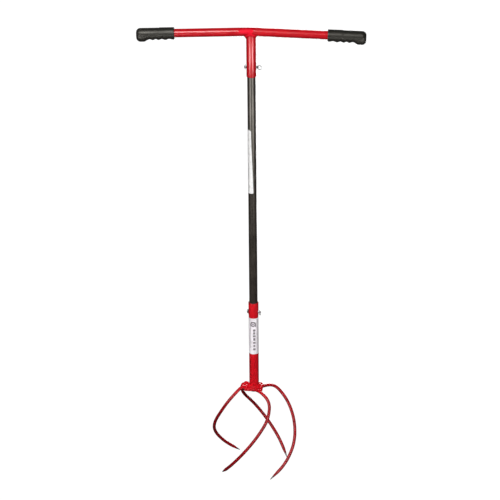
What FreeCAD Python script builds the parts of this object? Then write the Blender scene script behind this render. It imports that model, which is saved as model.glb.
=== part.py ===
import FreeCAD, Part
import math
import os

# Twist tiller: four curved tines on a three-section steel shaft with a T handle.
# Millimetres. Z runs up the shaft, z = 0 is the ground under the tine tips, X runs along the handle.

# ---- Driving dimensions ----

BAR_Z = 1074.0  # axis of the handle's cross tube at its middle
BAR_DIAMETER = 19.0
BAR_WALL = 1.5
BAR_HALF_LENGTH = 248.0
BAR_DROOP_DEG = 2.0  # each arm falls away from the middle
BAR_BEND_RADIUS = 300.0

SOCKET_DIAMETER = 22.0  # the red tubes that the middle tube plugs into
SOCKET_WALL = 1.2
STEM_BOTTOM_Z = 969.0
STEM_TOP_Z = BAR_Z - 2.5
EDGE_CHAMFER = 0.5

MIDDLE_DIAMETER = 19.0
MIDDLE_WALL = 1.5
PLUG_DEPTH = 45.0  # how far the middle tube goes into each red tube

HEAD_TOP_Z = 418.0
HEAD_BOTTOM_Z = 195.0
MOUTH_DIAMETER = 23.0  # the head tube is opened out a little around its pin
MOUTH_LENGTH = 29.0
MOUTH_TAPER = 5.0

GRIP_LENGTH = 85.0
GRIP_OUTER_X = 254.0
GRIP_TOP_RADIUS = 13.4
GRIP_STEP = 0.5  # the outer part of the grip is this much slimmer on top
GRIP_STEP_AT = 33.0
GRIP_END_ROUND = 9.0
GRIP_LIP = 1.5
# Underside radius at each crest and hollow, against distance from the grip's inner end.
GRIP_UNDERSIDE = [
    (0.0, 13.8), (3.0, 14.3), (12.5, 12.6), (20.8, 14.9), (28.5, 12.6), (35.5, 14.9),
    (42.0, 12.6), (48.5, 14.9), (55.0, 12.8), (69.0, 18.2), (85.0, 18.0),
]
GRIP_SECTION_STEP = 3.0
GRIP_SECTION_POINTS = 12

PIN_DIAMETER = 6.0
PIN_LENGTH = 28.7
PIN_HEAD_DIAMETER = 10.6
PIN_HEAD_HEIGHT = 3.6
PIN_CHAMFER = 0.7
PIN_HOLE_CLEARANCE = 0.1
UPPER_PIN_Z = 991.0
UPPER_PIN_HEAD_X = -12.2  # underside of the pin's head
UPPER_PIN_TURN_DEG = 0.0
LOWER_PIN_Z = 394.0
LOWER_PIN_HEAD_X = -11.8
LOWER_PIN_TURN_DEG = -8.0  # the lower cross hole is drilled a little out of line with the handle

RING_HOLE_AT = 25.9  # ring hole, measured from the underside of the pin's head
RING_HOLE_DIAMETER = 3.2
RING_RADIUS = 5.2
RING_WIRE_DIAMETER = 1.0
RING_PITCH = 1.05
RING_TURNS = 1.9
RING_CORNERS_PER_TURN = 12
UPPER_RING_SWING_DEG = -25.0  # from straight out, about the ring hole
LOWER_RING_SWING_DEG = -70.0

TINE_DIAMETER = 7.4
TIP_RADIUS = 0.8
# Corners of each tine's bends from its welded end, laid out as for the front tine and then turned.
TINE_HUB_CORNERS = {
    "front_tine": [
        (-17.5, -15.0, 203.0), (3.0, -15.0, 203.0), (19.5, -33.5, 204.0),
        (39.5, -51.0, 188.5), (36.5, -73.5, 154.5), (9.5, -93.0, 115.0),
    ],
    "right_tine": [
        (-15.0, -15.0, 203.0), (2.5, -14.7, 204.5), (21.5, -25.5, 196.5),
        (46.0, -46.0, 186.5), (33.5, -75.0, 155.0), (10.5, -92.5, 116.0),
    ],
    "back_tine": [
        (-14.0, -15.0, 203.0), (2.5, -14.5, 204.0), (21.0, -32.5, 195.0),
        (32.0, -46.0, 183.0), (33.0, -75.5, 150.0), (7.0, -93.0, 115.5),
    ],
    "left_tine": [
        (-15.5, -15.0, 203.0), (2.5, -14.5, 204.0), (14.0, -28.0, 209.0),
        (39.0, -55.5, 186.5), (33.5, -74.5, 155.0), (9.5, -93.0, 113.5),
    ],
}
TINE_TIP_CORNERS = [(-23.0, -95.5, 74.0), (-54.0, -75.0, 32.0), (-73.0, -40.0, TIP_RADIUS)]

WELD_BEAD_RADIUS = 3.4
HUB_MIDDLE_Z = 203.0
# The hub's outline: height from its middle and radius.
HUB_OUTLINE = [(-7.4, 12.2), (-6.4, 14.4), (-4.6, 16.6), (-2.2, 18.6), (2.2, 18.6), (4.6, 16.6), (6.4, 14.4), (7.4, 12.2)]
# Lumps of weld metal where one tine's end meets the next tine: place and radius.
HUB_LUMPS = [
    ((-18.0, -13.0, 203.5), 5.8), ((15.0, -15.5, 202.5), 5.2), ((15.0, 14.0, 203.0), 5.2),
    ((-18.5, 11.5, 202.5), 8.1), ((-25.5, 9.0, 202.5), 5.7),
]
LUMP_BANDS = 6
LUMP_TOP_DEG = 78.0

LABEL_THICKNESS = 0.15
GLUE_GAP = 0.05
MIDDLE_LABEL_Z = (690.0, 843.0)
MIDDLE_LABEL_WIDTH_DEG = 112.0
MIDDLE_LABEL_RIGHT_EDGE_DEG = (-72.0, -102.0)  # at its bottom and at its top
HEAD_LABEL_Z = (291.0, 381.0)
HEAD_LABEL_WIDTH_DEG = 230.0
HEAD_LABEL_RIGHT_EDGE_DEG = (12.0, 12.0)
LABEL_SECTIONS = 9

# ---- Helpers ----

V = FreeCAD.Vector
X_AXIS = V(1, 0, 0)
Y_AXIS = V(0, 1, 0)
Z_AXIS = V(0, 0, 1)
ORIGIN = V(0, 0, 0)


def turned(shape, degrees, axis=Z_AXIS, centre=ORIGIN):
    """A copy of the shape, turned about an axis."""
    copy = shape.copy()
    copy.rotate(centre, axis, degrees)
    return copy


def moved(shape, offset):
    """A copy of the shape, moved by an offset."""
    copy = shape.copy()
    copy.translate(offset)
    return copy


def revolved(profile, axis):
    """A solid of revolution from (along the axis, radius) points."""
    if axis == Z_AXIS:
        points = [V(radius, 0, along) for along, radius in profile]
    else:
        points = [V(along, 0, radius) for along, radius in profile]
    face = Part.Face(Part.makePolygon(points + points[:1]))
    return face.revolve(ORIGIN, axis, 360)


def shaft(radius, bottom, top):
    """A plain vertical cylinder between two heights."""
    return Part.makeCylinder(radius, top - bottom, V(0, 0, bottom))


def tube(outer_diameter, wall, bottom, top):
    """A vertical tube with its outer edges broken by a small chamfer."""
    outer = outer_diameter / 2
    inner = outer - wall
    profile = [
        (bottom, inner), (bottom, outer - EDGE_CHAMFER), (bottom + EDGE_CHAMFER, outer),
        (top - EDGE_CHAMFER, outer), (top, outer - EDGE_CHAMFER), (top, inner),
    ]
    return revolved(profile, Z_AXIS)


def eased(points, at):
    """The value at a place, running smoothly between listed crests and hollows."""
    for (start, low), (end, high) in zip(points, points[1:]):
        if at <= end:
            share = (1 - math.cos(math.pi * (at - start) / (end - start))) / 2
            return low + (high - low) * share
    return points[-1][1]


def bent_path(corners):
    """A path with a tangent arc at each corner, each as large as its two runs allow."""
    edges = []
    start = corners[0]
    for before, corner, after in zip(corners, corners[1:], corners[2:]):
        back = before - corner
        ahead = after - corner
        trim = min(back.Length, ahead.Length) / 2
        turn = math.pi - back.getAngle(ahead)
        radius = trim / math.tan(turn / 2)
        inward = (V(back).normalize() + V(ahead).normalize()).normalize()
        middle = corner + inward * (math.hypot(radius, trim) - radius)
        arc_start = corner + V(back).normalize() * trim
        arc_end = corner + V(ahead).normalize() * trim
        if (arc_start - start).Length > 0.01:
            edges.append(Part.makeLine(start, arc_start))
        edges.append(Part.Arc(arc_start, middle, arc_end).toShape())
        start = arc_end
    return edges, start


def bent_rod(edges, radius):
    """A round rod along a path of tangent lines and arcs."""
    path = Part.Wire(edges)
    start = edges[0].valueAt(edges[0].FirstParameter)
    ahead = edges[0].tangentAt(edges[0].FirstParameter)
    return path.makePipe(Part.Face(Part.Wire(Part.makeCircle(radius, start, ahead))))


def pin_placed(shape, height, turn):
    """Moves a shape from the pin's own line, along X, to a pin's place on the shaft."""
    return moved(turned(shape, turn), V(0, 0, height))


# ---- Handle ----

def bar_path():
    """The cross tube's axis: two straight arms joined by a gentle bend."""
    droop = math.radians(BAR_DROOP_DEG)
    bend_x = BAR_BEND_RADIUS * math.sin(droop)
    bend_z = BAR_Z - BAR_BEND_RADIUS * (1 - math.cos(droop))
    end_z = bend_z - (BAR_HALF_LENGTH - bend_x) * math.tan(droop)
    left_end = V(-BAR_HALF_LENGTH, 0, end_z)
    left_bend = V(-bend_x, 0, bend_z)
    right_bend = V(bend_x, 0, bend_z)
    right_end = V(BAR_HALF_LENGTH, 0, end_z)
    bend = Part.Arc(left_bend, V(0, 0, BAR_Z), right_bend)
    return Part.Wire([
        Part.makeLine(left_end, left_bend), bend.toShape(), Part.makeLine(right_bend, right_end),
    ])


def bar_height(x):
    """Height of the cross tube's axis on its straight arms."""
    droop = math.radians(BAR_DROOP_DEG)
    bend_x = BAR_BEND_RADIUS * math.sin(droop)
    bend_z = BAR_Z - BAR_BEND_RADIUS * (1 - math.cos(droop))
    return bend_z - (abs(x) - bend_x) * math.tan(droop)


def bar_solid(radius):
    """A solid bar of the given radius along the whole cross tube."""
    path = bar_path()
    start = path.Vertexes[0].Point
    direction = V(math.cos(math.radians(BAR_DROOP_DEG)), 0, math.sin(math.radians(BAR_DROOP_DEG)))
    disc = Part.Face(Part.Wire(Part.makeCircle(radius, start, direction)))
    return path.makePipe(disc)


def cross_tube():
    """The handle's bent cross tube, open at both ends inside the grips."""
    outer = bar_solid(BAR_DIAMETER / 2)
    return outer.cut(bar_solid(BAR_DIAMETER / 2 - BAR_WALL))


def stem_tube():
    """The short tube welded under the cross tube, coped to fit round it."""
    stem = tube(SOCKET_DIAMETER, SOCKET_WALL, STEM_BOTTOM_Z, STEM_TOP_Z)
    stem = stem.cut(bar_solid(BAR_DIAMETER / 2))
    return stem.cut(pin_hole(UPPER_PIN_Z, UPPER_PIN_TURN_DEG))


def handle_weld():
    """The weld bead that follows the joint between the stem and the cross tube."""
    reach = SOCKET_DIAMETER / 2 + 0.2
    corners = []
    for degrees in range(-105, 106, 30):
        angle = math.radians(degrees)
        across = 0.95 * BAR_DIAMETER / 2 * math.sin(angle)
        drop = math.sqrt((BAR_DIAMETER / 2) ** 2 - across ** 2)
        corners.append(V(reach * math.cos(angle), reach * math.sin(angle), BAR_Z - drop))
    edges, _ = bent_path(corners)
    half = bent_rod(edges, WELD_BEAD_RADIUS)
    bead = half.fuse(half.mirror(ORIGIN, X_AXIS))
    bead = bead.cut(shaft(SOCKET_DIAMETER / 2, BAR_Z - 40, BAR_Z + 10))
    return bead.cut(bar_solid(BAR_DIAMETER / 2))


def grip_section(along):
    """The closed outline of the grip across its axis, round on top and rippled below."""
    top = GRIP_TOP_RADIUS
    if along > GRIP_STEP_AT:
        top -= GRIP_STEP * min(1.0, (along - GRIP_STEP_AT) / GRIP_SECTION_STEP)
    bottom = eased(GRIP_UNDERSIDE, along)
    inset = 0.0
    if along < GRIP_LIP:
        inset = 0.6 * (1 - along / GRIP_LIP)
    past = along - (GRIP_LENGTH - GRIP_END_ROUND)
    if past > 0:
        inset = GRIP_END_ROUND - math.sqrt(GRIP_END_ROUND ** 2 - past ** 2)
    points = []
    for step in range(GRIP_SECTION_POINTS):
        angle = 2 * math.pi * step / GRIP_SECTION_POINTS
        below = max(0.0, -math.sin(angle)) ** 1.5
        radius = top + (bottom - top) * below - inset
        points.append(V(along, radius * math.cos(angle), radius * math.sin(angle)))
    curve = Part.BSplineCurve()
    curve.interpolate(Points=points, PeriodicFlag=True)
    return Part.Wire(curve.toShape())


def right_grip():
    """The closed rubber grip on the right arm, with finger hollows and a heel underneath."""
    straight = GRIP_LENGTH - GRIP_END_ROUND
    count = round(straight / GRIP_SECTION_STEP)
    places = [straight * step / count for step in range(count + 1)]
    places.insert(1, GRIP_LIP / 2)
    places += [straight + GRIP_END_ROUND * math.sin(math.radians(a)) for a in (20, 40, 60, 75, 88)]
    body = Part.makeLoft([grip_section(place) for place in places], True, False)
    inner_x = GRIP_OUTER_X - GRIP_LENGTH
    body = turned(body, BAR_DROOP_DEG, Y_AXIS)
    body = moved(body, V(inner_x, 0, bar_height(inner_x)))
    return body.cut(bar_solid(BAR_DIAMETER / 2))


def left_grip():
    """The left grip, a mirror image of the right one."""
    return right_grip().mirror(ORIGIN, X_AXIS)


# ---- Shaft ----

def pin_hole(height, turn):
    """The drill that makes a pin's cross hole through the tubes."""
    radius = PIN_DIAMETER / 2 + PIN_HOLE_CLEARANCE
    drill = Part.makeCylinder(radius, 2 * SOCKET_DIAMETER, V(-SOCKET_DIAMETER, 0, 0), X_AXIS)
    return pin_placed(drill, height, turn)


def middle_tube():
    """The long black tube, plugged into the stem above and the head tube below."""
    bottom = HEAD_TOP_Z - PLUG_DEPTH
    top = STEM_BOTTOM_Z + PLUG_DEPTH
    middle = tube(MIDDLE_DIAMETER, MIDDLE_WALL, bottom, top)
    middle = middle.cut(pin_hole(UPPER_PIN_Z, UPPER_PIN_TURN_DEG))
    return middle.cut(pin_hole(LOWER_PIN_Z, LOWER_PIN_TURN_DEG))


def head_tube():
    """The red tube of the claw, opened out at its mouth."""
    outer = SOCKET_DIAMETER / 2
    mouth = MOUTH_DIAMETER / 2
    taper_top = HEAD_TOP_Z - MOUTH_LENGTH
    taper_bottom = taper_top - MOUTH_TAPER
    profile = [
        (HEAD_BOTTOM_Z, outer - SOCKET_WALL), (HEAD_BOTTOM_Z, outer), (taper_bottom, outer),
        (taper_top, mouth), (HEAD_TOP_Z - EDGE_CHAMFER, mouth), (HEAD_TOP_Z, mouth - EDGE_CHAMFER),
        (HEAD_TOP_Z, mouth - SOCKET_WALL), (taper_top, mouth - SOCKET_WALL),
        (taper_bottom, outer - SOCKET_WALL),
    ]
    return revolved(profile, Z_AXIS).cut(pin_hole(LOWER_PIN_Z, LOWER_PIN_TURN_DEG))


def label(tube_diameter, heights, width_deg, right_edges_deg):
    """A thin sticker wrapped part of the way round a tube; its edges may lean."""
    inner = tube_diameter / 2 + GLUE_GAP
    outer = inner + LABEL_THICKNESS
    sections = []
    for step in range(LABEL_SECTIONS):
        share = step / (LABEL_SECTIONS - 1)
        z = heights[0] + (heights[1] - heights[0]) * share
        right = right_edges_deg[0] + (right_edges_deg[1] - right_edges_deg[0]) * share
        angles = [math.radians(right - width_deg * part) for part in (0, 0.5, 1)]
        near = [V(inner * math.cos(a), inner * math.sin(a), z) for a in angles]
        far = [V(outer * math.cos(a), outer * math.sin(a), z) for a in angles]
        sections.append(Part.Wire([
            Part.Arc(*near).toShape(), Part.makeLine(near[2], far[2]),
            Part.Arc(*far[::-1]).toShape(), Part.makeLine(far[0], near[0]),
        ]))
    return Part.makeLoft(sections, True, False)


# ---- Pins and rings, made along X with the underside of the pin's head at x = 0 ----

def pin(head_x, height, turn):
    """A dome-headed pin with a cross hole near its end for the split ring."""
    shank = PIN_DIAMETER / 2
    head = PIN_HEAD_DIAMETER / 2
    rim = 0.8
    rise = PIN_HEAD_HEIGHT - rim
    dome_radius = (head ** 2 + rise ** 2) / (2 * rise)
    profile = [(PIN_LENGTH, 0), (PIN_LENGTH, shank - PIN_CHAMFER), (PIN_LENGTH - PIN_CHAMFER, shank)]
    profile += [(0, shank), (0, head), (-rim, head)]
    steps = 8
    half_angle = math.asin(head / dome_radius)
    for step in range(1, steps + 1):
        angle = half_angle * (1 - step / steps)
        along = -rim - rise + dome_radius * (1 - math.cos(angle))
        profile.append((along, dome_radius * math.sin(angle)))
    body = revolved(profile, X_AXIS)
    drill = Part.makeCylinder(RING_HOLE_DIAMETER / 2, 2 * PIN_DIAMETER, V(RING_HOLE_AT, 0, -PIN_DIAMETER))
    return pin_placed(moved(body.cut(drill), V(head_x, 0, 0)), height, turn)


def split_ring(head_x, height, turn, swing):
    """A split ring of nearly two turns, threaded through the pin's cross hole."""
    half_turn = math.pi * RING_TURNS
    steps = round(RING_TURNS * RING_CORNERS_PER_TURN)
    reach = RING_RADIUS / math.cos(half_turn / steps)
    corners = []
    for step in range(steps + 1):
        angle = half_turn * (2 * step / steps - 1)
        rise = RING_PITCH * angle / (2 * math.pi)
        corners.append(V(-reach * math.cos(angle + math.pi), rise, reach * math.sin(angle)))
    edges, _ = bent_path(corners)
    coil = bent_rod(edges, RING_WIRE_DIAMETER / 2)
    hole_depth = PIN_DIAMETER / 2
    bow = RING_RADIUS - math.sqrt(RING_RADIUS ** 2 - hole_depth ** 2)
    coil = turned(moved(coil, V(RING_RADIUS - bow / 2, 0, 0)), swing)
    return pin_placed(moved(coil, V(head_x + RING_HOLE_AT, 0, 0)), height, turn)


# ---- Claw ----

def tine_tip(start, end):
    """A tine's drawn-out point, slightly bellied and blunt at its end."""
    full = TINE_DIAMETER / 2
    length = (end - start).Length
    profile = [(0, 0)]
    for share in (0, 0.2, 0.4, 0.6, 0.8, 1.0):
        profile.append((length * share, full + (TIP_RADIUS - full) * share ** 1.35))
    for degrees in (30, 60):
        angle = math.radians(degrees)
        profile.append((length + TIP_RADIUS * math.sin(angle), TIP_RADIUS * math.cos(angle)))
    profile.append((length + TIP_RADIUS, 0))
    tip = revolved(profile, Z_AXIS)
    tip.Placement = FreeCAD.Placement(start, FreeCAD.Rotation(Z_AXIS, end - start))
    return tip


def tine(hub_corners, turn):
    """A round rod, bent in three dimensions and drawn to a blunt point."""
    corners = [V(*corner) for corner in hub_corners + TINE_TIP_CORNERS]
    edges, tip_start = bent_path(corners)
    rod = bent_rod(edges, TINE_DIAMETER / 2)
    return turned(rod.fuse(tine_tip(tip_start, corners[-1])), turn)


def weld_lump(place, radius):
    """A lump of weld metal, nearly a ball, made of straight bands so that it stays an exact solid."""
    top_rise = radius * math.sin(math.radians(LUMP_TOP_DEG))
    profile = [(-top_rise, 0)]
    for step in range(LUMP_BANDS):
        angle = math.radians(LUMP_TOP_DEG * (2 * step / (LUMP_BANDS - 1) - 1))
        profile.append((radius * math.sin(angle), radius * math.cos(angle)))
    profile.append((top_rise, 0))
    return moved(revolved(profile, Z_AXIS), V(*place))


def hub_weld(tines):
    """The weld metal that joins the four tines to the foot of the head tube."""
    profile = [(HUB_MIDDLE_Z + rise, reach) for rise, reach in HUB_OUTLINE]
    profile = [(profile[0][0], 0)] + profile + [(profile[-1][0], 0)]
    weld = revolved(profile, Z_AXIS)
    for place, radius in HUB_LUMPS:
        weld = weld.fuse(weld_lump(place, radius))
    weld = weld.cut(shaft(SOCKET_DIAMETER / 2, HEAD_BOTTOM_Z - 20, HEAD_TOP_Z))
    return weld.cut(Part.makeCompound(tines))


# ---- Build ----

def build():
    """Every piece of the tiller, by name."""
    tines = {}
    for place, (name, hub_corners) in enumerate(TINE_HUB_CORNERS.items()):
        tines[name] = tine(hub_corners, 90 * place)
    upper = (UPPER_PIN_HEAD_X, UPPER_PIN_Z, UPPER_PIN_TURN_DEG)
    lower = (LOWER_PIN_HEAD_X, LOWER_PIN_Z, LOWER_PIN_TURN_DEG)
    pieces = {
        "cross_tube": cross_tube(),
        "stem_tube": stem_tube(),
        "handle_weld": handle_weld(),
        "right_grip": right_grip(),
        "left_grip": left_grip(),
        "middle_tube": middle_tube(),
        "middle_label": label(
            MIDDLE_DIAMETER, MIDDLE_LABEL_Z, MIDDLE_LABEL_WIDTH_DEG, MIDDLE_LABEL_RIGHT_EDGE_DEG),
        "head_tube": head_tube(),
        "head_label": label(
            SOCKET_DIAMETER, HEAD_LABEL_Z, HEAD_LABEL_WIDTH_DEG, HEAD_LABEL_RIGHT_EDGE_DEG),
        "upper_pin": pin(*upper),
        "upper_ring": split_ring(*upper, UPPER_RING_SWING_DEG),
        "lower_pin": pin(*lower),
        "lower_ring": split_ring(*lower, LOWER_RING_SWING_DEG),
        "hub_weld": hub_weld(list(tines.values())),
    }
    pieces.update(tines)
    return pieces


os.makedirs("parts", exist_ok=True)
for name, shape in build().items():
    shape.exportStep(os.path.join("parts", name + ".step"))
    box = shape.BoundBox
    print(name, "solids", len(shape.Solids), "valid", shape.isValid(), "volume", round(shape.Volume, 1),
          "z", round(box.ZMin, 2), round(box.ZMax, 2), "x", round(box.XMin, 2), round(box.XMax, 2))
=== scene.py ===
import math

import bmesh
import bpy
import numpy as np
from mathutils import Matrix, Vector, noise


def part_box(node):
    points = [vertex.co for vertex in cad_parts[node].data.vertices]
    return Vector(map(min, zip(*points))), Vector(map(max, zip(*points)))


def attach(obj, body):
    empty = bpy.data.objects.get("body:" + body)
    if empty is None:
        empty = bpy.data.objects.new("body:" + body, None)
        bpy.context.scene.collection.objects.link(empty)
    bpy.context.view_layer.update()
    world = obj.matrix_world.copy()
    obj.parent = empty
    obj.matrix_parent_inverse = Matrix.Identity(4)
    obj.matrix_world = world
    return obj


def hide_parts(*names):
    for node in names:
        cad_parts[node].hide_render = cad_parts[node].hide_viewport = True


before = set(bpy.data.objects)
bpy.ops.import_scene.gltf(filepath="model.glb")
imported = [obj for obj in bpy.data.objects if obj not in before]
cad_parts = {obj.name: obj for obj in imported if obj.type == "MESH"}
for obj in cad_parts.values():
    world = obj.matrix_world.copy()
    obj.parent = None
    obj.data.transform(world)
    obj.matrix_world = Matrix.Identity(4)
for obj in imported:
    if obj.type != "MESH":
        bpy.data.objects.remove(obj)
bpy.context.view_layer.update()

# Looks of a twist tiller: a T handle, a three-section shaft and a claw of four bent tines.
# Shapes are worked out in millimetres, in the CAD frame, and scaled to metres as they become pieces.

MM = 0.001
# Edges that bend more than this are shaded as sharp.
CREASE = math.radians(35.0)
scene = bpy.context.scene


def span(node):
    """A CAD node's lowest and highest corner, in millimetres."""
    low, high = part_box(node)
    return np.array(low) / MM, np.array(high) / MM


# ---- Figures shared with the CAD model ----

BAR_RADIUS = 9.5
BAR_WALL = 1.5
BAR_HALF_LENGTH = 248.0
BAR_DROOP = math.radians(2.0)
BAR_BEND_RADIUS = 300.0
BAR_Z = span("cross_tube")[1][2] - BAR_RADIUS

SOCKET_RADIUS = 11.0
SOCKET_WALL = 1.2
STEM_BOTTOM, STEM_TOP = span("stem_tube")[0][2], BAR_Z - 2.5
MIDDLE_RADIUS = 9.5
MIDDLE_WALL = 1.5
MIDDLE_BOTTOM, MIDDLE_TOP = span("middle_tube")[0][2], span("middle_tube")[1][2]
HEAD_BOTTOM, HEAD_TOP = span("head_tube")[0][2], span("head_tube")[1][2]
MOUTH_RADIUS = 11.5
MOUTH_LENGTH = 29.0
MOUTH_TAPER = 5.0

# Each label's width round its tube, then where its right edge is at its bottom and at its top, in degrees.
MIDDLE_LABEL_DEG = (112.0, -72.0, -102.0)
HEAD_LABEL_DEG = (230.0, 12.0, 12.0)
LABEL_CORNER = 3.0

GRIP_LENGTH = 85.0
GRIP_OUTER_X = 254.0
GRIP_TOP_RADIUS = 13.4
GRIP_STEP = 0.5
GRIP_STEP_AT = 33.0
GRIP_END_ROUND = 9.0
# Underside radius at each crest and hollow, against distance from the grip's inner end.
GRIP_UNDERSIDE = np.array([
    (0.0, 13.8), (3.0, 14.3), (12.5, 12.6), (20.8, 14.9), (28.5, 12.6), (35.5, 14.9),
    (42.0, 12.6), (48.5, 14.9), (55.0, 12.8), (69.0, 18.2), (85.0, 18.0),
])

PIN_RADIUS = 3.0
PIN_HOLE_GAP = 0.1
PIN_LENGTH = 28.7
PIN_HEAD_RADIUS = 5.3
PIN_HEAD_HEIGHT = 3.6
RING_HOLE_AT = 25.9
RING_HOLE_RADIUS = 1.6
RING_RADIUS = 5.2
RING_WIRE_RADIUS = 0.5
RING_PITCH = 1.05
RING_TURNS = 1.9
# Each pin's place: its head's inner face, its height, and how far it and its ring are turned.
UPPER = {"head_x": -12.2, "z": 991.0, "turn": 0.0, "swing": math.radians(-25.0)}
LOWER = {"head_x": -11.8, "z": 394.0, "turn": math.radians(-8.0), "swing": math.radians(-70.0)}

TINE_RADIUS = 3.7
TIP_RADIUS = 0.8
# Each tine's bends near the hub, laid out as for the front tine, then the bends that all four share.
TINE_HUB_CORNERS = {
    "front_tine": [
        (-17.5, -15.0, 203.0), (3.0, -15.0, 203.0), (19.5, -33.5, 204.0),
        (39.5, -51.0, 188.5), (36.5, -73.5, 154.5), (9.5, -93.0, 115.0),
    ],
    "right_tine": [
        (-15.0, -15.0, 203.0), (2.5, -14.7, 204.5), (21.5, -25.5, 196.5),
        (46.0, -46.0, 186.5), (33.5, -75.0, 155.0), (10.5, -92.5, 116.0),
    ],
    "back_tine": [
        (-14.0, -15.0, 203.0), (2.5, -14.5, 204.0), (21.0, -32.5, 195.0),
        (32.0, -46.0, 183.0), (33.0, -75.5, 150.0), (7.0, -93.0, 115.5),
    ],
    "left_tine": [
        (-15.5, -15.0, 203.0), (2.5, -14.5, 204.0), (14.0, -28.0, 209.0),
        (39.0, -55.5, 186.5), (33.5, -74.5, 155.0), (9.5, -93.0, 113.5),
    ],
}
TINE_TIP_CORNERS = [(-23.0, -95.5, 74.0), (-54.0, -75.0, 32.0), (-73.0, -40.0, TIP_RADIUS)]
HUB_Z = 203.0
# The hub's side profile, as (rise, reach) rows from its underside up.
HUB_OUTLINE = [
    (-7.4, 12.2), (-6.4, 14.4), (-4.6, 16.6), (-2.2, 18.6),
    (2.2, 18.6), (4.6, 16.6), (6.4, 14.4), (7.4, 12.2),
]
HUB_LUMPS = [
    ((-18.0, -13.0, 203.5), 5.6), ((15.0, -15.5, 202.5), 5.2), ((15.0, 14.0, 203.0), 4.2),
    ((-18.5, 11.5, 202.5), 8.0), ((-25.5, 9.0, 202.5), 5.5),
]
# How far the weld metal runs out along each tine, and its radius there.
WELD_RUNS = {"front_tine": (25, 4.2), "right_tine": (44, 5.4), "back_tine": (25, 4.2), "left_tine": (25, 4.2)}


# ---- Node helpers for materials ----

class Surface:
    """A material, with short ways to add the nodes that it is made of."""

    def __init__(self, name, **sockets):
        self.material = bpy.data.materials.new(name)
        self.material.use_nodes = True
        self.nodes = self.material.node_tree.nodes
        self.links = self.material.node_tree.links
        self.shader = self.nodes["Principled BSDF"]
        self.place = self.nodes.new("ShaderNodeTexCoord").outputs["Object"]
        for key, value in sockets.items():
            self.shader.inputs[key.replace("_", " ")].default_value = value

    def put(self, socket, value):
        """Links an output to a socket, or sets the socket to a plain value."""
        if isinstance(value, bpy.types.NodeSocket):
            self.links.new(value, socket)
        else:
            socket.default_value = value

    def stretched(self, scale):
        """Object coordinates, scaled differently along each axis."""
        node = self.nodes.new("ShaderNodeMapping")
        self.links.new(self.place, node.inputs["Vector"])
        node.inputs["Scale"].default_value = scale
        return node.outputs["Vector"]

    def noise(self, scale, detail=3.0, roughness=0.5, place=None):
        node = self.nodes.new("ShaderNodeTexNoise")
        self.links.new(place or self.place, node.inputs["Vector"])
        node.inputs["Scale"].default_value = scale
        node.inputs["Detail"].default_value = detail
        node.inputs["Roughness"].default_value = roughness
        return node.outputs["Fac"]

    def cells(self, scale):
        node = self.nodes.new("ShaderNodeTexVoronoi")
        self.links.new(self.place, node.inputs["Vector"])
        node.inputs["Scale"].default_value = scale
        return node.outputs["Distance"]

    def math(self, operation, first, second=0.0):
        node = self.nodes.new("ShaderNodeMath")
        node.operation = operation
        for socket, value in zip(node.inputs, (first, second)):
            self.put(socket, value)
        return node.outputs[0]

    def step(self, value, start, end, low=0.0, high=1.0):
        """A smooth change from low to high as value goes from start to end."""
        node = self.nodes.new("ShaderNodeMapRange")
        node.interpolation_type = "SMOOTHSTEP"
        for key, given in (("Value", value), ("From Min", start), ("From Max", end),
                           ("To Min", low), ("To Max", high)):
            self.put(node.inputs[key], given)
        return node.outputs["Result"]

    def mix(self, share, first, second):
        """A colour between two colours."""
        node = self.nodes.new("ShaderNodeMix")
        node.data_type = "RGBA"
        self.put(node.inputs[0], share)
        self.put(node.inputs[6], first)
        self.put(node.inputs[7], second)
        return node.outputs[2]

    def blend(self, share, first, second):
        """A number between two numbers."""
        node = self.nodes.new("ShaderNodeMix")
        self.put(node.inputs[0], share)
        self.put(node.inputs[2], first)
        self.put(node.inputs[3], second)
        return node.outputs[0]

    def stored(self, name):
        """A number that the mesh holds at each point."""
        node = self.nodes.new("ShaderNodeAttribute")
        node.attribute_name = name
        return node.outputs["Fac"]

    def relief(self, height, depth, strength=1.0, under=None):
        """A bump of a real depth in metres, over another one if given."""
        node = self.nodes.new("ShaderNodeBump")
        node.inputs["Strength"].default_value = strength
        node.inputs["Distance"].default_value = depth
        self.links.new(height, node.inputs["Height"])
        if under is not None:
            self.links.new(under, node.inputs["Normal"])
        return node.outputs["Normal"]

    def use(self, colour=None, roughness=None, metallic=None, normal=None):
        for key, value in (("Base Color", colour), ("Roughness", roughness),
                           ("Metallic", metallic), ("Normal", normal)):
            if value is not None:
                self.put(self.shader.inputs[key], value)
        return self.material


# ---- Materials ----

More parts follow.
